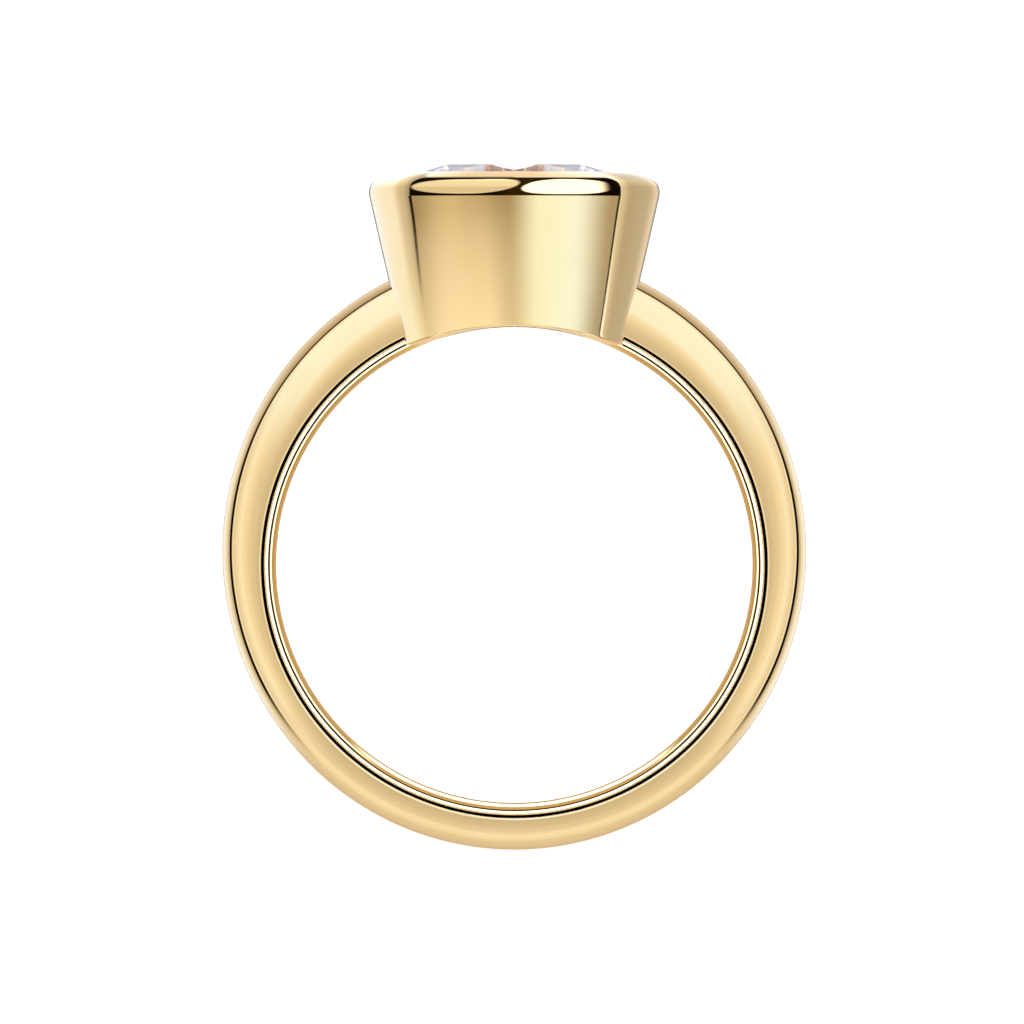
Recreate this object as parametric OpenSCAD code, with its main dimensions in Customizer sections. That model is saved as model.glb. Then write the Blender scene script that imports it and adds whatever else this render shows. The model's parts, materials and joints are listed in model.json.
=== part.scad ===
// A bezel set ring: a half-round band, soldered to a tapered bezel that
// holds one round brilliant. All sizes are in millimetres.
//
// The ring is drawn upright first, with the finger hole along Z, its centre
// at the origin and the head towards +Y. It is then laid on its side, as it
// rests by itself: on the rim of the head and on the palm end of the band.

/* [Finger hole and band] */
// Diameter of the finger hole
bore_d = 16.5; // [15:0.1:20]
// Width of the band, along the finger
band_w = 2.2; // [2.1:0.1:2.4]
// Thickness of the band at the palm
palm_t = 1.62; // [1.6:0.01:1.66]
// Thickness of the band at its two sides
side_t = 1.87; // [1.84:0.01:1.9]
// Height of the band's widest line, above the middle of the hole
side_rise = 0.47; // [0.44:0.01:0.48]
// Radius of the two side arcs, over that of the hole
side_arc_over = 2.25; // [2.23:0.01:2.3]
// Radius of the band's two outer corners
band_edge_r = 1; // [0.8:0.05:1]
// Radius of the rounding on the finger side
comfort_r = 0.9; // [0.86:0.01:0.95]
// Length of the straight part of the hole, along the finger
land_l = 0.5; // [0.4:0.05:0.55]

/* [Bezel] */
// Height of the rim over the finger hole
head_h = 5.36; // [5.2:0.02:5.6]
// Widest diameter of the rim
rim_d = 10.09; // [9.9:0.01:10.4]
// Taper of the wall, from the bezel's own axis
bezel_taper = 13.2; // [12:0.1:14]
// Radius of the rim's outer corner
rim_edge_r = 0.5; // [0.4:0.05:0.6]
// Radius of the rim's gently domed top
rim_top_r = 2.1; // [1.9:0.05:2.3]
// Angle from the bezel's axis at which those two arcs meet
rim_turn = 31; // [28:1:33]
// Diameter of the lip, inside which the stone shows
lip_d = 7; // [6.8:0.05:7.2]
// Slope of the bright cut from the lip up to the rim, in degrees
lip_cut = 50; // [45:1:60]
// Radius of the curve under the bezel
foot_curve_r = 13.5; // [11:0.5:16]
// Height of that curve over the finger hole, in its middle
foot_over = 0.03; // [0.02:0.01:0.15]
// Diameter of the open back, at the finger hole
back_d = 5.4; // [5:0.1:5.6]
// Diameter of the open back, under the stone's seat
back_top_d = 6.8; // [6.6:0.1:7]

/* [Stone] */
// Diameter of the stone at its girdle
stone_d = 8.1; // [8:0.01:8.14]
// Table, corner to corner, as a part of the stone's diameter
table_part = 0.63; // [0.58:0.01:0.66]
// Height of the table over the rim
table_over_rim = 0.26; // [0.2:0.01:0.34]
// Height of the crown, from the girdle to the table
crown_h = 1.04; // [1:0.01:1.1]
// Thickness of the girdle
girdle_h = 0.2; // [0.15:0.01:0.22]
// Angle of the pavilion mains to the girdle
pavilion_angle = 41; // [40:0.1:42]
// Distance of the star facets' tips from the stone's axis
star_r = 3.1; // [3.04:0.01:3.2]
// Distance of the lower halves' inner tips from the stone's axis
lower_half_r = 0.93; // [0.6:0.01:1.4]
// Gap between the stone and its seat
seat_gap = 0.05; // [0.04:0.01:0.07]

/* [Hidden] */
$fn = 128;
bore_r = bore_d / 2;
half_w = band_w / 2;
edge_off = half_w - band_edge_r;      // the corner arcs' centres, from the middle plane
past = 1;                             // how far a cutter runs past what it cuts
arc_points = 8;                       // straight steps in each arc of the rim

// The band's outside is three arcs that run into each other: one at each
// side and one at the palm. The palm arc's centre follows from the others.
side_arc_r = bore_r + side_arc_over;
side_cx = side_arc_over - side_t;
spare = side_arc_over - palm_t;
palm_cy = (spare * spare - side_cx * side_cx - side_rise * side_rise) / (2 * (spare - side_rise));
palm_arc_r = bore_r + palm_t + palm_cy;
meet_angle = atan2(side_rise - palm_cy, side_cx);  // below the X axis, on either side
shank_end = 80;                       // the side arcs end inside the bezel's hollow

// The rim's two arcs, in the bezel's own plane: [distance from its axis, height].
rim_top = bore_r + head_h;
top_arc = [rim_d / 2 - rim_edge_r - (rim_top_r - rim_edge_r) * sin(rim_turn), rim_top - rim_top_r];
edge_arc = [rim_d / 2 - rim_edge_r, top_arc.y + (rim_top_r - rim_edge_r) * cos(rim_turn)];
wall_top = edge_arc + rim_edge_r * [cos(bezel_taper), -sin(bezel_taper)];
foot_low = bore_r - 2;                // the wall is drawn down to here and then cut

// The stone's levels and facet corners, in the same plane.
girdle_r = stone_d / 2;
table_r = table_part * girdle_r;
table_y = rim_top + table_over_rim;
girdle_y = table_y - crown_h;
girdle_low = girdle_y - girdle_h;
culet_y = girdle_low - girdle_r * tan(pavilion_angle);
eighth = 45;
turn = eighth / 2;
star_y = table_y - (star_r * cos(turn) - table_r) * crown_h / (girdle_r - table_r);
lower_half_y = culet_y + lower_half_r * cos(turn) * tan(pavilion_angle);

// The hollow's corners: the seat follows the pavilion, the lip the crown.
seat_r = girdle_r + seat_gap;
crown_slope = (star_y - girdle_y) / (girdle_r - star_r);
seat_drop = 1.4 * seat_gap;           // straight down, so that the gap across it is seat_gap

function seat_y(r) = culet_y + r * tan(pavilion_angle) - seat_drop;
function lip_y(r) = girdle_y + (girdle_r - r) * crown_slope + seat_gap;

// The tilt at which the rim and the palm end of the band touch the floor
// together. Each touches with an arc, whose centre is [outwards, along Y].
palm_arc_y = palm_cy - palm_arc_r + band_edge_r;
reach = edge_arc.y - palm_arc_y;
step_up = edge_arc.x - edge_off;
tilt = atan2(step_up, reach) + asin((rim_edge_r - band_edge_r) / norm([reach, step_up]));
floor_drop = edge_arc.x * cos(tilt) + rim_edge_r - edge_arc.y * sin(tilt);
head_end = top_arc.y * cos(tilt) + top_arc.x * sin(tilt) + rim_top_r;
palm_end = -palm_arc_y * cos(tilt) + edge_off * sin(tilt) + band_edge_r;

// Lays the upright ring on its side, with the middle of its box over the origin.
module lay_down() {
    translate([0, (palm_end - head_end) / 2, floor_drop])
        rotate([tilt, 0, 0])
            children();
}

// Turns a shape drawn round Z so that Z points at the head.
module to_head() {
    rotate([-90, 0, 0])
        children();
}

// The half-round section of the band, drawn r away from its arc's centre.
// It runs past the finger hole, which is cut afterwards.
module band_section(r) {
    inner = bore_r - past;
    translate([inner, -half_w])
        square([r - band_edge_r - inner, band_w]);
    translate([inner, -edge_off])
        square([r - inner, 2 * edge_off]);
    for (side = [-1, 1])
        translate([r - band_edge_r, side * edge_off])
            circle(band_edge_r);
}

// One arc of the band, from one angle to another round its own centre.
module band_arc(centre, r, from, to) {
    translate(centre)
        rotate([0, 0, from])
            rotate_extrude(angle = to - from)
                band_section(r);
}

// What the finger hole and its two rounded edges take out of the band.
module finger_cut() {
    rotate_extrude() {
        translate([0, -half_w - past])
            square([bore_r, band_w + 2 * past]);
        for (side = [0, 1])
            mirror([0, side])
                difference() {
                    translate([0, land_l / 2])
                        square([bore_r + comfort_r, half_w + past - land_l / 2]);
                    translate([bore_r + comfort_r, land_l / 2])
                        circle(comfort_r);
                }
    }
}

// The band, as a whole ring but for a gap in the bezel's hollow.
module band() {
    difference() {
        union() {
            band_arc([0, palm_cy, 0], palm_arc_r, -180 + meet_angle, -meet_angle);
            band_arc([-side_cx, side_rise, 0], side_arc_r, -meet_angle, shank_end);
            band_arc([side_cx, side_rise, 0], side_arc_r, 180 - shank_end, 180 + meet_angle);
        }
        finger_cut();
    }
}

// The bezel without its hollow: a cone with a rounded rim, turned round Y and
// curved underneath so that it clears the finger.
module bezel_body() {
    outline = concat(
        [[0, foot_low], [wall_top.x - (wall_top.y - foot_low) * tan(bezel_taper), foot_low]],
        [for (i = [0 : arc_points]) let (a = i / arc_points * (90 - rim_turn + bezel_taper))
            edge_arc + rim_edge_r * [cos(a - bezel_taper), sin(a - bezel_taper)]],
        [for (i = [1 : arc_points]) let (a = rim_turn * (1 - i / arc_points))
            top_arc + rim_top_r * [sin(a), cos(a)]],
        [[0, rim_top]]
    );
    difference() {
        to_head()
            rotate_extrude()
                polygon(outline);
        translate([0, bore_r + foot_over - foot_curve_r, 0])
            cylinder(r = foot_curve_r, h = rim_d + 2 * past, center = true);
    }
}

// The hollow of the bezel: the open back, the seat, the space of the girdle
// and the bright cut inside the lip.
module bezel_hollow() {
    lip_r = lip_d / 2;
    back_slope = (back_top_d - back_d) / 2 / (seat_y(back_top_d / 2) - bore_r);
    above = rim_top + past / 2;
    to_head()
        rotate_extrude()
            polygon([
                [0, foot_low],
                [back_d / 2 - (bore_r - foot_low) * back_slope, foot_low],
                [back_top_d / 2, seat_y(back_top_d / 2)],
                [seat_r, seat_y(seat_r)],
                [seat_r, lip_y(seat_r)],
                [lip_r, lip_y(lip_r)],
                [lip_r + (above - lip_y(lip_r)) / tan(lip_cut), above],
                [0, above]
            ]);
}

// Band and bezel are soldered and polished as one piece of gold.
module band_and_bezel() {
    color("#E3BC6F")
        lay_down()
            difference() {
                union() {
                    band();
                    bezel_body();
                }
                bezel_hollow();
            }
}

// A ring of eight corners round the stone's axis, from a first angle on.
function corners(r, y, first) =
    [for (k = [0 : 7]) [r * sin(first + k * eighth), y, r * cos(first + k * eighth)]];

// The round brilliant. Its eight corners at each level are numbered round the
// axis, and a star facet of the crown faces +Z.
module brilliant() {
    points = concat(
        corners(table_r, table_y, turn),            // 0 to 7, the table
        corners(star_r, star_y, 0),                 // 8 to 15, the stars' tips
        corners(girdle_r, girdle_y, turn),          // 16 to 23, the girdle under the kites
        corners(girdle_r, girdle_y, 0),             // 24 to 31, the girdle under the stars
        corners(girdle_r, girdle_low, turn),        // 32 to 39, the same below
        corners(girdle_r, girdle_low, 0),           // 40 to 47
        corners(lower_half_r, lower_half_y, 0),     // 48 to 55, the lower halves' tips
        [[0, culet_y, 0]]                           // 56, the culet
    );
    facets = concat(
        [[for (k = [7 : -1 : 0]) k]],
        [for (k = [0 : 7]) let (n = (k + 1) % 8) each [
            [k, n, 8 + n],                                      // star
            [k, 8 + n, 16 + k, 8 + k],                          // kite
            [8 + k, 16 + k, 24 + k],                            // upper halves
            [8 + n, 24 + n, 16 + k],
            [24 + k, 16 + k, 32 + k, 40 + k],                   // girdle
            [16 + k, 24 + n, 40 + n, 32 + k],
            [40 + k, 32 + k, 48 + k],                           // lower halves
            [32 + k, 40 + n, 48 + n],
            [32 + k, 48 + n, 56, 48 + k]                        // pavilion main
        ]]
    );
    polyhedron(points, facets);
}

module stone() {
    color("#E9EEF8")
        lay_down()
            brilliant();
}

band_and_bezel();
stone();
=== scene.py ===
import json
from math import atan2, cos, hypot, pi, radians, sin, sqrt, tan

import bmesh
import bpy
from mathutils import Matrix, Vector


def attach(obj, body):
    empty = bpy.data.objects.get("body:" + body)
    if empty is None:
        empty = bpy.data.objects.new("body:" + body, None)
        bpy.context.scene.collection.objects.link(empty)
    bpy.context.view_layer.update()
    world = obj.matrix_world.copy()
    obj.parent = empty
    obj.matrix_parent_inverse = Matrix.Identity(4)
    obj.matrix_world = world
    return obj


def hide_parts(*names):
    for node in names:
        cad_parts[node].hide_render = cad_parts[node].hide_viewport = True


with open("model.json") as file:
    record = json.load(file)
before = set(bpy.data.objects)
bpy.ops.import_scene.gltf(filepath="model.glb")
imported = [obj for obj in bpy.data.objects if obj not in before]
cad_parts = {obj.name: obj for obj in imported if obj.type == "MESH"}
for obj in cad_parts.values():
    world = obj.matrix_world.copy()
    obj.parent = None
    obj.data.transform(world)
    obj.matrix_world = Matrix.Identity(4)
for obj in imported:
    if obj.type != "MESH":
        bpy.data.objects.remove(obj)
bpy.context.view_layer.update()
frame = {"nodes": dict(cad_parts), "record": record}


# The band. One half-round wire of polished yellow gold, bent round the finger
# hole and domed on both sides. Its two ends are soldered into the wall of the
# bezel, and all the gold is polished as one.
MM = 0.001                   # all sizes below are in millimetres, as in the CAD model
BORE_R = 8.25
HALF_W = 1.1
PALM_T, SIDE_T = 1.62, 1.87
SIDE_RISE, SIDE_ARC_OVER = 0.47, 2.25
EDGE_R = 1.1                 # how round the band's outer line is
EDGE_EASE = 1.15             # spaces the points between the side face and that line
FACE_IN = 0.6                # from the finger hole to the inner edge of the side face
FILLET_R = 0.1               # the polished edge between the side face and the inside
INSIDE_TURN = radians(45.5)  # where that edge runs into the domed inside
INSIDE_STEPS, FILLET_STEPS, OUTSIDE_STEPS, BAND_STEPS = 26, 10, 40, 320
WAIT_STEP, WAIT_Z = 0.01, 0.5    # where the outside's points wait for the spin
BAND_END_X = 2.78            # the ends stop here, in the wall of the bezel,
BAND_END_LEAN = 0.187        # and lean outwards as its hollow does
SHARP = radians(28)          # faces that meet at a larger angle show an edge

side_arc_r = BORE_R + SIDE_ARC_OVER
side_cx = SIDE_ARC_OVER - SIDE_T
spare = SIDE_ARC_OVER - PALM_T
palm_cy = (spare ** 2 - side_cx ** 2 - SIDE_RISE ** 2) / (2 * (spare - SIDE_RISE))
palm_arc_r = BORE_R + PALM_T + palm_cy
meet_angle = atan2(SIDE_RISE - palm_cy, side_cx)

# The ring is made upright, with the hole along Z and the head towards +Y, and
# each finished piece is then laid on its side round the hole's real place.
hole = frame["record"]["mounts"][0]
finger = Vector(hole["axis"]).normalized()
lay_down = Matrix.Translation(hole["pos_m"]) @ Matrix(
    (Vector((1, 0, 0)), finger.cross(Vector((1, 0, 0))), finger)
).transposed().to_4x4()


def band_outside(angle):
    """Distance of the band's outer line from the middle of the hole, at an angle from +X."""
    folded = atan2(sin(angle), abs(cos(angle)))
    if folded < -meet_angle:
        cx, cy, r = 0, palm_cy, palm_arc_r
    else:
        cx, cy, r = -side_cx, SIDE_RISE, side_arc_r
    along = cx * cos(folded) + cy * sin(folded)
    return along + sqrt(r * r - (cx * cx + cy * cy) + along * along)


def band_section():
    """Half of the band's section, from the middle of the inside out to the middle of
    the outside. Each point is (whether it is outside, how far along that, height)."""
    fillet_low = HALF_W - FILLET_R * (1 - cos(INSIDE_TURN))
    rise = FACE_IN - FILLET_R * sin(INSIDE_TURN)
    power = fillet_low / tan(INSIDE_TURN) / rise
    points = []
    for i in range(INSIDE_STEPS + 1):
        z = fillet_low * i / INSIDE_STEPS
        points.append((False, BORE_R + rise * (z / fillet_low) ** power, z))
    for i in range(1, FILLET_STEPS + 1):
        turn = INSIDE_TURN * (1 - i / FILLET_STEPS)
        points.append((False, BORE_R + FACE_IN - FILLET_R * sin(turn),
                       HALF_W - FILLET_R * (1 - cos(turn))))
    for i in range(1, OUTSIDE_STEPS + 1):
        points.append((True, sin(pi / 2 * i / OUTSIDE_STEPS) ** EDGE_EASE, 0))
    return points


def closed_line(bm, points):
    """The vertices and edges of a section that is then spun."""
    verts = [bm.verts.new(p) for p in points]
    return verts, [bm.edges.new(pair) for pair in zip(verts, verts[1:] + verts[:1])]


def upper_faces(bm):
    return [f for f in bm.faces if f.calc_center_median().y > 0]


def past_band_end(face):
    middle = face.calc_center_median()
    return abs(middle.x) < BAND_END_X + (middle.y - BORE_R) * BAND_END_LEAN


def new_piece(bm, name):
    mesh = bpy.data.meshes.new(name)
    bm.to_mesh(mesh)
    bm.free()
    piece = bpy.data.objects.new(name, mesh)
    bpy.context.scene.collection.objects.link(piece)
    return piece


def finish_mesh(bm, name):
    """Turns a bmesh in upright millimetres into an object laid down at its place."""
    bmesh.ops.recalc_face_normals(bm, faces=bm.faces)
    bmesh.ops.scale(bm, vec=(MM, MM, MM), verts=bm.verts)
    bmesh.ops.transform(bm, matrix=lay_down, verts=bm.verts)
    for face in bm.faces:
        face.smooth = True
    piece = new_piece(bm, name)
    piece.data.set_sharp_from_angle(angle=SHARP)
    return piece


def hide_from(piece, *rays):
    for ray in rays:
        setattr(piece, "visible_" + ray, False)


# The outside has another width at each angle. So its points wait on a short
# line while the section is spun, and then go to their place.
bm = bmesh.new()
outside_of = bm.verts.layers.int.new("outside")
along_of = bm.verts.layers.float.new("along")
side_of = bm.verts.layers.float.new("side")
half = list(enumerate(band_section()))
section = [(1, i, *point) for i, point in half] + [(-1, i, *point) for i, point in reversed(half[1:-1])]
loop, loop_edges = closed_line(bm, [
    (BORE_R + i * WAIT_STEP, 0, side * WAIT_Z) if outside else (along, 0, side * z)
    for side, i, outside, along, z in section
])
for v, (side, i, outside, along, z) in zip(loop, section):
    v[outside_of], v[along_of], v[side_of] = outside, along, side
bmesh.ops.spin(bm, geom=loop + loop_edges, cent=(0, 0, 0), axis=(0, 0, 1), angle=2 * pi,
               steps=BAND_STEPS, use_merge=True, use_duplicate=False)
face_in = BORE_R + FACE_IN
for v in bm.verts:
    if v[outside_of]:
        angle = atan2(v.co.y, v.co.x)
        width = band_outside(angle) - face_in
        power = 2 * EDGE_R * width / HALF_W ** 2
        r = face_in + width * v[along_of]
        z = HALF_W * sqrt(max(0, 1 - v[along_of] ** power))
        v.co = (r * cos(angle), r * sin(angle), z * v[side_of])
for side in (-1, 1):
    upper = upper_faces(bm)
    geom = upper + list(dict.fromkeys(e for f in upper for e in f.edges))
    geom += list(dict.fromkeys(v for f in upper for v in f.verts))
    bmesh.ops.bisect_plane(bm, geom=geom, plane_co=(side * BAND_END_X, BORE_R, 0),
                           plane_no=(side, -BAND_END_LEAN, 0))
bmesh.ops.delete(bm, geom=[f for f in upper_faces(bm) if past_band_end(f)], context="FACES")
bmesh.ops.holes_fill(bm, edges=[e for e in bm.edges if e.is_boundary], sides=0)
band = finish_mesh(bm, "band")


class Sock:
    """A shader socket that adds Math nodes as Python works with it."""

    def __init__(self, tree, socket):
        self.tree, self.socket = tree, socket

    def node(self, kind, settings=None, out=0, **inputs):
        """Adds one node: its settings first, then the values or links of its sockets.
        i0, i1 and so on are sockets by their number."""
        made = self.tree.nodes.new(kind)
        for key, value in (settings or {}).items():
            if key == "stops":
                elements = made.color_ramp.elements
                while len(elements) < len(value):
                    elements.new(0.5)
                for element, (position, colour) in zip(elements, value):
                    element.position = position
                    element.color = (*colour, 1)
            elif key == "between_stops":
                made.color_ramp.interpolation = value
            else:
                setattr(made, key, value)
        for key, value in inputs.items():
            numbered = key[0] == "i" and key[1:].isdigit()
            slot = made.inputs[int(key[1:]) if numbered else key.replace("_", " ")]
            if isinstance(value, Sock):
                self.tree.links.new(value.socket, slot)
            else:
                slot.default_value = value
        return Sock(self.tree, made.outputs[out])

    def maths(self, operation, *values):
        return self.node("ShaderNodeMath", {"operation": operation},
                         **{f"i{n}": value for n, value in enumerate(values)})

    def vector(self, operation, *values, out=0, **named):
        return self.node("ShaderNodeVectorMath", {"operation": operation}, out=out,
                         **{f"i{n}": value for n, value in enumerate(values)}, **named)

    def __add__(self, other): return self.maths("ADD", self, other)
    def __radd__(self, other): return self.maths("ADD", other, self)
    def __sub__(self, other): return self.maths("SUBTRACT", self, other)
    def __rsub__(self, other): return self.maths("SUBTRACT", other, self)
    def __mul__(self, other): return self.maths("MULTIPLY", self, other)
    def __rmul__(self, other): return self.maths("MULTIPLY", other, self)
    def __truediv__(self, other): return self.maths("DIVIDE", self, other)
    def __rtruediv__(self, other): return self.maths("DIVIDE", other, self)
    def __pow__(self, other): return self.maths("POWER", self, other)
    def __neg__(self): return self.maths("MULTIPLY", self, -1)
    def __abs__(self): return self.maths("ABSOLUTE", self)

    def step(self, low, high, smooth=True):
        """0 below low and 1 above high, and eased between them unless smooth is off."""
        return self.node("ShaderNodeMapRange", {"interpolation_type": "SMOOTHSTEP" if smooth else "LINEAR"},
                         Value=self, From_Min=low, From_Max=high, To_Min=0.0, To_Max=1.0)


def new_material(name):
    material = bpy.data.materials.new(name)
    material.use_nodes = True
    tree = material.node_tree
    shader = tree.nodes["Principled BSDF"]
    at = Sock(tree, tree.nodes.new("ShaderNodeTexCoord").outputs["Object"])
    return material, tree, shader, at


def set_sockets(shader, **values):
    for key, value in values.items():
        socket = shader.inputs[key.replace("_", " ")]
        if isinstance(value, Sock):
            value.tree.links.new(value.socket, socket)
        else:
            socket.default_value = value


# Polished 18 carat yellow gold: a mirror with the faint unevenness of hand
# polishing, a little softer where the wheel has passed more than once.
GOLD_DEEP, GOLD_PALE = (0.94, 0.685, 0.33, 1), (0.955, 0.7, 0.35, 1)
POLISH, WHEEL_MARKS = 0.035, 0.03
gold, tree, shader, at = new_material("polished_gold")
broad = at.node("ShaderNodeTexNoise", Vector=at, Scale=420.0, Detail=2.0, Roughness=0.5)
fine = at.node("ShaderNodeTexNoise", Vector=at, Scale=5200.0, Detail=3.0, Roughness=0.6)
tint = at.node("ShaderNodeMix", {"data_type": "RGBA"}, out=2,
               i0=broad.step(0.3, 0.7), i6=GOLD_DEEP, i7=GOLD_PALE)
dents = at.node("ShaderNodeBump", Strength=0.02, Distance=0.00002, Height=broad)
set_sockets(shader, Base_Color=tint, Roughness=POLISH + WHEEL_MARKS * fine.step(0.35, 0.75) * broad,
            Normal=dents, Metallic=1.0, IOR=1.45)

band.data.materials.append(gold)
hide_from(band, "glossy")    # so that the bezel's wall stays clear of its reflection
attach(band, "root")
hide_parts("band_and_bezel")


# The bezel. A tapered collar of the same gold, turned hollow, with its lip
# pushed over the stone's edge and a bright cut inside it. It is soldered onto
# the band and curved underneath, so that it clears the finger.
HEAD_H, RIM_D, TAPER = 5.36, 10.09, radians(13.2)
WALL_CURVE_R = 228.0         # the wall is very slightly full, as a filed wall is
LIP_D, BACK_D, BACK_TOP_D = 7.0, 5.4, 6.8
FOOT_CURVE_R, FOOT_OVER = 10.8, 0.03
FOOT_EDGE_R = 0.05           # the polished edge of the curve underneath
FOOT_ZONE = 0.012            # the part of the wall's height that this edge takes
FOOT_HOLLOW = 1.5            # how the face underneath sinks to the finger hole
STONE_D, TABLE_PART, TABLE_OVER_RIM = 8.1, 0.63, 0.26
CROWN_H, GIRDLE_H, PAVILION = 1.04, 0.2, radians(41)
STAR_R, STAR_TURN = 3.1, radians(22.5)
SEAT_GAP = 0.05
SEAT_UNDER = 1.4 * SEAT_GAP  # upright under the pavilion, which is a little more
BEZEL_STEPS = 288
# The rim, from the dome of its top down to the wall: each arc runs into the
# next one. (radius, the angle from the bezel's axis at which it ends, steps)
RIM_ARCS = ((2.8, 23, 16), (1.1, 34, 8), (0.35, 63.4, 8), (0.49, 81, 8),
            (0.67, 90, 8), (0.77, 100.5, 8), (0.6, 102.6, 8))

rim_top = BORE_R + HEAD_H
girdle_r = STONE_D / 2
table_r = TABLE_PART * girdle_r
table_y = rim_top + TABLE_OVER_RIM
girdle_y = table_y - CROWN_H
girdle_low = girdle_y - GIRDLE_H
culet_y = girdle_low - girdle_r * tan(PAVILION)
star_y = table_y - (STAR_R * cos(STAR_TURN) - table_r) * CROWN_H / (girdle_r - table_r)
seat_r = girdle_r + SEAT_GAP


def seat_point(r):
    """The seat at r from the bezel's axis: it follows the stone's pavilion."""
    return Vector((r, culet_y + r * tan(PAVILION) - SEAT_UNDER))


def lip_point(r):
    """The lip's underside at r from the bezel's axis: it follows the stone's crown."""
    return Vector((r, girdle_y + (girdle_r - r) * (star_y - girdle_y) / (girdle_r - STAR_R) + SEAT_GAP))


def arc(centre, r, start, end, steps):
    """Points from one direction to another, in radians from the bezel's axis outwards."""
    turns = [start + (end - start) * i / steps for i in range(steps + 1)]
    return [centre + r * Vector((sin(turn), cos(turn))) for turn in turns]


def straight(a, b, steps):
    return [a.lerp(b, i / steps) for i in range(1, steps)]


def bowed(a, b, steps):
    """A straight run bent outwards to the radius of the wall, closer at its ends."""
    across = Vector((b.y - a.y, a.x - b.x)).normalized()
    half_run = (b - a).length / 2
    stops = [steps * (1 - cos(pi * j / steps)) / 2 for j in range(1, steps)]
    return [a.lerp(b, i / steps)
            + across * (half_run ** 2 - (half_run * (2 * i / steps - 1)) ** 2) / 2 / WALL_CURVE_R
            for i in stops]


rim, turned = [Vector((0, rim_top))], 0
for r, end, steps in RIM_ARCS:
    start = radians(turned)
    centre = rim[-1] - r * Vector((sin(start), cos(start)))
    rim += arc(centre, r, start, radians(end), steps)[1:]
    turned = end
outwards = RIM_D / 2 - max(p.x for p in rim)
rim = [p + Vector((outwards, 0)) for p in reversed(rim)]
wall_top, back_top, lip_edge = rim[0], seat_point(BACK_TOP_D / 2), lip_point(LIP_D / 2)
wall_slope = tan(TAPER)
back_slope = (BACK_TOP_D - BACK_D) / 2 / (back_top.y - BORE_R)
foot_level = BORE_R + FOOT_OVER
foot_u = wall_top.x - (wall_top.y - foot_level) * wall_slope
back_foot = Vector((BACK_D / 2 + FOOT_OVER * back_slope, foot_level))
foot_corner = Vector((foot_u, foot_level)) + FOOT_EDGE_R * Vector((-tan((pi / 2 - TAPER) / 2), 1))
outline = (
    [back_foot] + straight(back_foot, Vector((foot_corner.x, foot_level)), 5)
    + arc(foot_corner, FOOT_EDGE_R, pi, pi / 2 + TAPER, 5)
    + bowed(foot_corner + FOOT_EDGE_R * Vector((cos(TAPER), -sin(TAPER))), wall_top, 14)
    + rim[1:]
    + straight(rim[-1], lip_edge, 5) + [lip_edge]
    + [lip_point(seat_r), seat_point(seat_r), back_top]
    + straight(back_top, back_foot, 8)
)
bm = bmesh.new()
loop, loop_edges = closed_line(bm, [(u, y, 0) for u, y in outline])
bmesh.ops.spin(bm, geom=loop + loop_edges, cent=(0, 0, 0), axis=(0, 1, 0), angle=2 * pi,
               steps=BEZEL_STEPS, use_merge=True, use_duplicate=False)
# The foot is let down onto the curve underneath. Wall and hollow follow it in
# proportion and keep their slopes, which a few rounds settle.
HARDLY = 1e-6
for v in bm.verts:
    x, y, z = v.co
    u = hypot(x, z)
    inside = u < BACK_TOP_D / 2 + SEAT_GAP
    top = back_top.y if inside else wall_top.y
    if y >= top - HARDLY:
        continue
    keep = (y - foot_level) / (top - foot_level)
    part = 0 if inside else 1
    if abs(keep) < FOOT_ZONE:
        part = min(1, max(0, (u - back_foot.x) / (foot_u - back_foot.x)))
    for _ in range(4):
        edge_drop = FOOT_CURVE_R - sqrt(FOOT_CURVE_R ** 2 - x * x)
        hole_drop = foot_level - sqrt(BORE_R ** 2 - x * x)
        drop = (hole_drop + (edge_drop - hole_drop) * part ** FOOT_HOLLOW) * (1 - keep)
        shrink = 1 - drop * (back_slope + (wall_slope - back_slope) * part) / u
        x, z = v.co.x * shrink, v.co.z * shrink
    v.co = (x, y - drop, z)
bezel = finish_mesh(bm, "bezel")
bezel.data.materials.append(gold)
hide_from(bezel, "diffuse")    # so that the floor stays white under the head
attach(bezel, "root")
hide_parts("band_and_bezel")


# The stone. One colourless round brilliant, cut with flat polished facets, and
# held by the seat under its edge and by the lip over it. The facets underneath
# send light back, and a share of metal stands for that here.
stone = frame["nodes"]["stone"]
clear, tree, shader, at = new_material("colourless_brilliant")
set_sockets(shader, Base_Color=(0.97, 0.97, 1.0, 1), Roughness=0.01, IOR=2.42,
            Transmission_Weight=1.0, Metallic=0.35)
for slot in stone.material_slots:
    slot.material = clear


# A pale floor in an evenly lit room. What is polished doesn't show the room,
# because each piece has a tent of its own further down.
FLOOR_REACH = 4              # in metres
ROOM_LIGHT, ROOM_ON_FLOOR, ROOM_IN_PICTURE = 1.6, 2.0, 0.99
bm = bmesh.new()
bmesh.ops.create_grid(bm, x_segments=1, y_segments=1, size=FLOOR_REACH)
floor = new_piece(bm, "floor")
hide_from(floor, "glossy")
pale, tree, shader, at = new_material("pale_floor")
set_sockets(shader, Base_Color=(0.92, 0.92, 0.92, 1), Roughness=0.9, Specular_IOR_Level=0.0)
floor.data.materials.append(pale)

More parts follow.
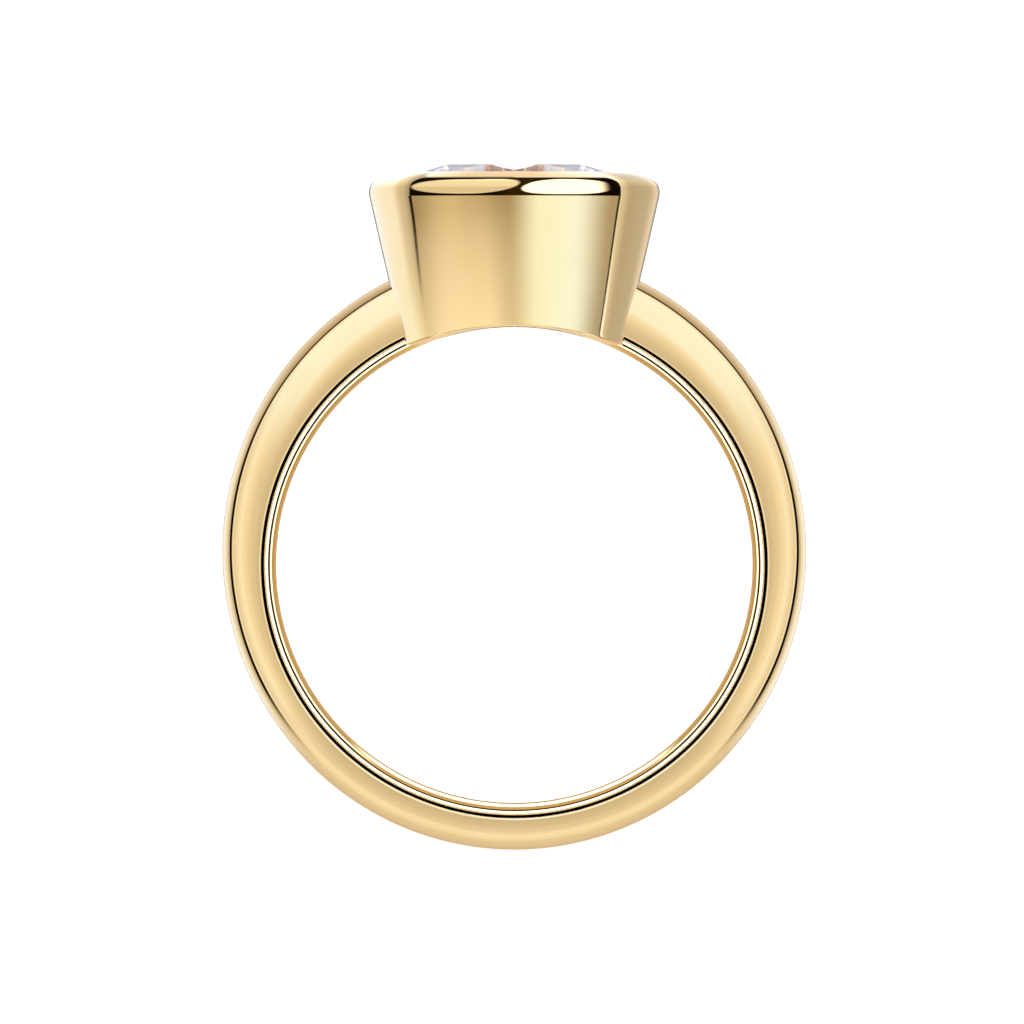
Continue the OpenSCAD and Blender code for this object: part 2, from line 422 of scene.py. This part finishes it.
world = bpy.data.worlds.new("studio")
bpy.context.scene.world = world
world.use_nodes = True
world.cycles.sampling_method = "NONE"
tree = world.node_tree
tree.nodes.clear()
out = tree.nodes.new("ShaderNodeOutputWorld")
path = tree.nodes.new("ShaderNodeLightPath").outputs
seen, glossy, on_floor = (Sock(tree, path[f"Is {kind} Ray"]) for kind in ("Camera", "Glossy", "Diffuse"))
room = (ROOM_LIGHT - (ROOM_LIGHT - ROOM_IN_PICTURE) * seen - ROOM_LIGHT * glossy
        + (ROOM_ON_FLOOR - ROOM_LIGHT) * on_floor)
background = seen.node("ShaderNodeBackground", Color=(1, 1, 1, 1), Strength=room)
tree.links.new(background.socket, out.inputs["Surface"])


# The band's tent, with soft boxes round the ring and black flags between them.
# Each tent is a glowing sphere that only its own piece sees. Its lights are laid
# out by the normal at which polished gold shows them, seen along the finger hole.
DEGREES = 180 / pi
BLACK, BROWN_BLACK = 0.004, (0.08, 0.04, 0.02)
up = lay_down.col[1].to_3d().normalized()


def blend(by, a, b):
    return by.node("ShaderNodeMix", {"data_type": "RGBA"}, out=2, i0=by, i6=a, i7=b)


def ramp(factor, low, high, *stops, between="EASE"):
    """Light between stops, each (value, brightness) or (value, (red, green, blue))."""
    colours = [((value - low) / (high - low), c if isinstance(c, tuple) else (c, c, c)) for value, c in stops]
    scaled = (factor - low) * (1 / (high - low))
    return factor.node("ShaderNodeValToRGB", {"between_stops": between, "stops": colours}, Fac=scaled)


def show_surface(tree, shader):
    tree.links.new(shader.socket, tree.nodes["Material Output"].inputs["Surface"])


def tent(name, piece, lights, radius, height):
    """Hangs a tent round a middle that lies height over the hole's. lights gets the
    normal's shares towards +X, the head and the camera, and its tilt in degrees."""
    material, tree, shader, at = new_material(name)
    tree.nodes.remove(shader)
    middle = lay_down @ Vector((0, height * MM, 0))
    way = at.vector("NORMALIZE", at.vector("SUBTRACT", at, tuple(middle)))
    normal = at.vector("NORMALIZE", at.vector("ADD", way, tuple(finger)))
    x, y, z = (at.vector("DOT_PRODUCT", normal, tuple(d), out=1) for d in ((1, 0, 0), up, finger))
    tilted = at.maths("ARCCOSINE", z * 0.99999) * DEGREES    # so that it never passes 1
    glow = at.node("ShaderNodeEmission", Color=lights(x, y, z, tilted), Strength=1.0)
    show_surface(tree, at.node("ShaderNodeAddShader", i0=glow, i1=at.node("ShaderNodeBsdfTransparent")))
    material.cycles.emission_sampling = "NONE"
    bm = bmesh.new()
    bmesh.ops.create_uvsphere(bm, u_segments=64, v_segments=32, radius=radius,
                              matrix=Matrix.Translation(middle))
    sphere = new_piece(bm, name)
    sphere.data.materials.append(material)
    hide_from(sphere, "camera", "diffuse", "shadow", "volume_scatter")
    lit = bpy.data.collections.new(name + "_lights")
    lit.objects.link(piece)
    sphere.light_linking.receiver_collection = lit


def band_lights(x, y, z, tilted):
    sides = ramp(tilted, 0, 90,
                 (0, 0.7), (6, 0.81), (18, 1.0), (25, (1.03, 1.14, 1.32)), (33, (0.97, 0.98, 1.05)),
                 (38, 0.83), (41, (1.0, 1.1, 1.3)), (42.8, 0.9), (43.5, BLACK), (49.2, BLACK),
                 (49.9, 0.6), (61, (0.98, 1.05, 1.3)), (69, (1.04, 1.24, 1.7)), (80, 1.0), (83, 0.1))
    upper = ramp(tilted, 0, 90,
                 (0, 0.72), (2.5, 0.9), (4.5, (1.0, 1.05, 1.15)), (8, (1.04, 1.25, 1.6)),
                 (36, (1.05, 1.3, 1.75)), (43.5, (1.0, 1.1, 1.3)), (44.3, BROWN_BLACK), (48.0, BROWN_BLACK),
                 (48.8, 0.5), (61, (0.7, 0.66, 0.7)), (69, 0.85), (80, 0.8), (83, 0.1))
    under = ramp(tilted, 0, 90,
                 (0, 0.66), (16, 0.74), (25, 0.84), (36, (1.0, 1.06, 1.15)), (42, 0.99),
                 (52, 0.82), (60, 0.77), (68, (0.76, 0.7, 0.62)), (80, (0.66, 0.52, 0.38)))
    towards_head = y / (1.0001 - z * z) ** 0.5
    over = blend(towards_head.step(0.25, 0.7), sides, upper)
    return blend((-towards_head).step(0.45, 0.75), over, under)


tent("band_tent", band, band_lights, radius=1.6, height=0)


# The bezel's tent. The wall shows a soft box on each side of a darker middle, in
# a window between two black flags, and a soft light outside each flag. The rim
# bends that window into a black frame with two long boxes in it.
WALL_RISE = -12.45           # where the wall's normals end and the rim's begin, in degrees
RIM_REACH, RIM_RISE = 5.03, 0.872    # the rim's radius, and its height over the wall
FRAME_MIDDLE, FRAME_HALF_W, FRAME_HIGH = 0.03, 3.38, 0.374    # without its round corners
CORNER_W, CORNER_H = 0.277, 0.285
LOW_LIGHT = (0.86, 0.8, 0.72, 1)


def wall_lights(turn, down):
    """The light outside the window, and all that the wall shows. down is 1 at the foot."""
    left_flag, right_flag = -45.9 - 5.6 * down, 46.5 + 2.4 * down
    window_top = ramp(turn, -90, 90,
                      (-47, (0.38, 0.34, 0.27)), (-27, (0.71, 0.66, 0.56)), (-17, (0.62, 0.57, 0.47)),
                      (-3, (0.45, 0.4, 0.31)), (11, (1.04, 1.27, 1.5)), (24, (1.04, 1.33, 1.8)),
                      (44, (0.47, 0.43, 0.36)))
    window_foot = ramp(turn, -90, 90,
                       (-50, 0.88), (-34, (1.1, 1.11, 1.18)), (-13, (1.1, 1.1, 1.15)), (-1, 0.82),
                       (13, (1.03, 1.28, 1.53)), (28, (1.03, 1.33, 1.8)), (48, 0.47))
    left_top = ramp(turn - left_flag, -45, 0,
                    (-43, 0.12), (-38, 0.3), (-34, (1.02, 1.17, 1.4)), (-12, (1.03, 1.13, 1.4)),
                    (-5, 0.7), (0, 0.42))
    left_foot = ramp(turn - left_flag, -45, 0,
                     (-38, 0.12), (-33, 0.3), (-29, (1.02, 1.1, 1.08)), (-8, (1.03, 1.2, 1.32)), (0, 0.97))
    right_edge = ((32, (0.85, 0.8, 0.75)), (36, 0.4), (42, 0.15))
    right_top = ramp(turn - right_flag, 0, 45,
                     (0, (1.0, 1.1, 1.3)), (2.2, 0.74), (7, 0.53), (20, 0.57), *right_edge)
    right_foot = ramp(turn - right_flag, 0, 45,
                      (0, (1.25, 1.45, 1.9)), (1.7, (1.25, 1.45, 1.9)), (2.7, 0.74), (8, 0.55),
                      (20, 0.55), *right_edge)
    window = blend(down ** 0.6, window_top, window_foot)
    left, right = blend(down, left_top, left_foot), blend(down, right_top, right_foot)
    outside = blend(turn.step(-1, 1), left, right)
    inside = (turn - left_flag).step(-0.2, 0.2) * (right_flag - turn).step(-0.2, 0.2)
    left_line = (1 - abs(turn - left_flag).step(0.6, 1.1)) * (1 - down.step(0.1, 0.75))
    right_line = 1 - abs(turn - right_flag).step(0.3, 0.9 - 0.35 * down)
    wall = blend(left_line + right_line, blend(inside, outside, window), (0.004, 0.003, 0.002, 1))
    return outside, wall


def long_box(inwards, half_width, high, half_height, bend):
    """1 in a long rounded box and 0 outside it. inwards and high are measured from
    its middle, and bend is how much its inner end is lifted."""
    bent = high - bend * inwards.step(0, half_width, smooth=False) ** 2
    far = (abs(inwards) * (1 / half_width)) ** 2.5 + (abs(bent) * (1 / half_height)) ** 2
    return 1 - far.step(0.88, 1.1)


def rim_lights(across, high, outside):
    """The frame, its boxes and the crest over it. across and high are in millimetres."""
    side = 2 * (abs(across - FRAME_MIDDLE) - FRAME_HALF_W).step(0, 2 * CORNER_W, smooth=False)
    top = (high - FRAME_HIGH).step(0, CORNER_H, smooth=False)
    in_frame = 1 - (side * side + top * top).step(0.82, 1.1)
    brown = blend(abs(across - 0.25).step(0.3, 1.0), (0.03, 0.018, 0.006, 1), (0.006, 0.004, 0.002, 1))
    gold_box = ramp(high, 0, 0.6,
                    (0.1, 0.92), (0.16, 0.78), (0.31, 0.78), (0.36, 1.0), (0.5, 1.02), (0.56, (1.2, 1.4, 1.5)))
    white_box = blend(across.step(2.85, 3.35), (2.2, 2.2, 2.6, 1), (0.01, 0.006, 0.002, 1))
    boxes = blend(long_box(across + 1.69, 1.87, high - 0.336, 0.243, 0.13), brown, gold_box)
    boxes = blend(long_box(1.86 - across, 1.6, high - 0.333, 0.253, -0.07), boxes, white_box)
    crest = ramp(across, -5, 5,
                 (-3.6, (1.4, 1.4, 1.5)), (-2.7, (1.15, 1.1, 1.05)), (-1.9, (0.98, 0.88, 0.76)),
                 (0.8, (1.02, 0.9, 0.76)), (1.8, (1.2, 1.12, 1.1)), (3.3, (1.35, 1.4, 1.5)))
    shoulder = blend(high.step(0.3, 0.55), outside, outside.vector("SCALE", outside, Scale=1.35))
    over_frame = high.step(0.655, 0.675 + 0.25 * (abs(across) - 3.3).step(0, 0.5))
    return blend(over_frame, blend(in_frame, shoulder, boxes), crest)


def bezel_lights(x, y, z, tilted):
    rise = y.maths("ARCSINE", y) * DEGREES
    turn = x.maths("ARCTAN2", x, z) * DEGREES
    outside, wall = wall_lights(turn, (WALL_RISE - rise).step(0, 1.2, smooth=False))
    across = RIM_REACH * x / x.maths("SQRT", x * x + z * z)
    part = ramp(rise, WALL_RISE, 90,
                (WALL_RISE, 0.0), (-10.5, 0.03), (0, 0.193), (9, 0.313), (26.6, 0.477), (56, 0.63),
                (67, 0.745), (90, 1.0), between="LINEAR")
    high = RIM_RISE * part.node("ShaderNodeRGBToBW", Color=part)
    lights = blend(high.step(0.018, 0.03), wall, rim_lights(across, high, outside))
    return blend((-rise).step(16, 30), lights, LOW_LIGHT)


tent("bezel_tent", bezel, bezel_lights, radius=1.5, height=11)


# The stone's tent. The two kites in front show brown, the star between them
# white, and the facets round them go from white to lavender.
def stone_lights(x, y, z, tilted):
    turned = abs(x.maths("ARCTAN2", x, z) * DEGREES)
    rise = y.maths("ARCSINE", y) * DEGREES
    kites = ramp(turned, 0, 90,
                 (0, (0.8, 0.6, 0.54)), (15, (0.62, 0.42, 0.36)), (22.4, (0.66, 0.47, 0.41)),
                 (22.9, (1.0, 1.1, 1.4)), (23.6, (1.35, 1.35, 1.35)), (31, (1.2, 1.25, 1.35)),
                 (36, (0.9, 0.94, 1.12)), (44, (1.3, 1.3, 1.34)), (62, (0.95, 0.95, 1.06)),
                 (85, (0.62, 0.6, 0.7)))
    stars = ramp(turned, 0, 90,
                 (0, (1.06, 1.05, 1.12)), (20, (1.15, 1.15, 1.2)), (32, (0.84, 0.83, 0.98)),
                 (60, (0.7, 0.69, 0.86)))
    return blend(rise.step(60, 62), kites, stars)


tent("stone_tent", stone, stone_lights, radius=0.03, height=13)


# Two cards in the finger hole, for the band's domed inside: a black tube, which
# lets light in from outside, and a disc under it with light and dark rings.
CARD_R, TUBE_DEPTH, DISC_Z = 8.2, 2.35, -1.2
CORE_LIGHT, PALM_LIGHT = (2.4, 2.8, 3.6), (2.2, 2.6, 3.0)
DARK_RING, TAN_RING, BROWN_RING = (0.06, 0.03, 0.01), (0.66, 0.52, 0.34), (0.5, 0.36, 0.2)
black, tree, shader, at = new_material("black_tube")
tree.nodes.remove(shader)
facing = Sock(tree, tree.nodes.new("ShaderNodeNewGeometry").outputs["Backfacing"])
dark = at.node("ShaderNodeEmission", Color=(0, 0, 0, 1), Strength=0.0)
show_surface(tree, at.node("ShaderNodeMixShader", i0=facing, i1=at.node("ShaderNodeBsdfTransparent"), i2=dark))
bm = bmesh.new()
bmesh.ops.create_cone(bm, cap_ends=False, segments=192, radius1=CARD_R, radius2=CARD_R, depth=TUBE_DEPTH)
tube = finish_mesh(bm, "black_tube")
tube.data.materials.append(black)

rings, tree, shader, at = new_material("ring_lights")
tree.nodes.remove(shader)
disc_middle = Vector((0, 0, DISC_Z))
out_by = at.vector("DISTANCE", at, tuple(lay_down @ (disc_middle * MM)), out=1) * (1 / MM)
from_hole = at.vector("SUBTRACT", at, tuple(lay_down.translation))
towards_palm = at.vector("DOT_PRODUCT", from_hole, tuple(-up), out=1) * (1 / MM) / out_by
at_sides = ramp(out_by, 0, 8,
                (2.2, CORE_LIGHT), (2.4, DARK_RING), (4.5, DARK_RING), (4.7, (2.2, 2.6, 3.2)),
                (5.6, (2.0, 2.3, 2.6)), (5.75, BROWN_RING), (7.8, TAN_RING), between="LINEAR")
at_palm = ramp(out_by, 0, 8,
               (2.1, CORE_LIGHT), (2.3, DARK_RING), (3.8, DARK_RING), (4.0, TAN_RING), (5.9, TAN_RING),
               (6.1, PALM_LIGHT), (7.2, PALM_LIGHT), (7.4, BROWN_RING), between="LINEAR")
ringed = blend(towards_palm.step(0.72, 0.85), at_sides, at_palm)
under_head = (-towards_palm).step(0.84, 0.95) * out_by.step(5.6, 6.2)
ringed = blend(under_head, ringed, (0.9, 0.7, 0.42, 1))
show_surface(tree, at.node("ShaderNodeEmission", Color=ringed, Strength=1.0))
rings.cycles.emission_sampling = "NONE"
bm = bmesh.new()
bmesh.ops.create_circle(bm, cap_ends=True, segments=96, radius=CARD_R, matrix=Matrix.Translation(disc_middle))
disc = finish_mesh(bm, "ring_lights")
disc.data.materials.append(rings)
for card in (tube, disc):
    hide_from(card, "camera", "diffuse", "shadow", "transmission", "volume_scatter")


# One soft round lamp overhead, for the floor. Nothing polished shows it.
LAMP_AT = Vector((-0.1, 0.2, 0.7))
lamp = bpy.data.lights.new("overhead", "AREA")
lamp.shape, lamp.size, lamp.energy = "DISK", 0.9, 0.8
overhead = bpy.data.objects.new("overhead", lamp)
overhead.location = LAMP_AT
overhead.rotation_euler = (-LAMP_AT).to_track_quat("-Z", "Y").to_euler()
hide_from(overhead, "camera", "glossy", "transmission")
bpy.context.scene.collection.objects.link(overhead)


# The camera looks straight through the finger hole, with the head upwards.
AWAY = 1300.0                # distance from the hole, in millimetres
SEEN = 35.49                 # what the picture's width covers there
ASIDE, HEADWARDS = -0.08, 1.83
SENSOR = 36
camera = bpy.data.objects.new("camera", bpy.data.cameras.new("camera"))
camera.data.sensor_width = SENSOR
camera.data.lens = SENSOR * AWAY / SEEN
camera.data.clip_start, camera.data.clip_end = 0.01, 10
camera.matrix_world = lay_down @ Matrix.Translation(Vector((ASIDE, HEADWARDS, AWAY)) * MM)
bpy.context.scene.collection.objects.link(camera)
bpy.context.scene.camera = camera
bpy.context.scene.view_settings.view_transform = "Standard"
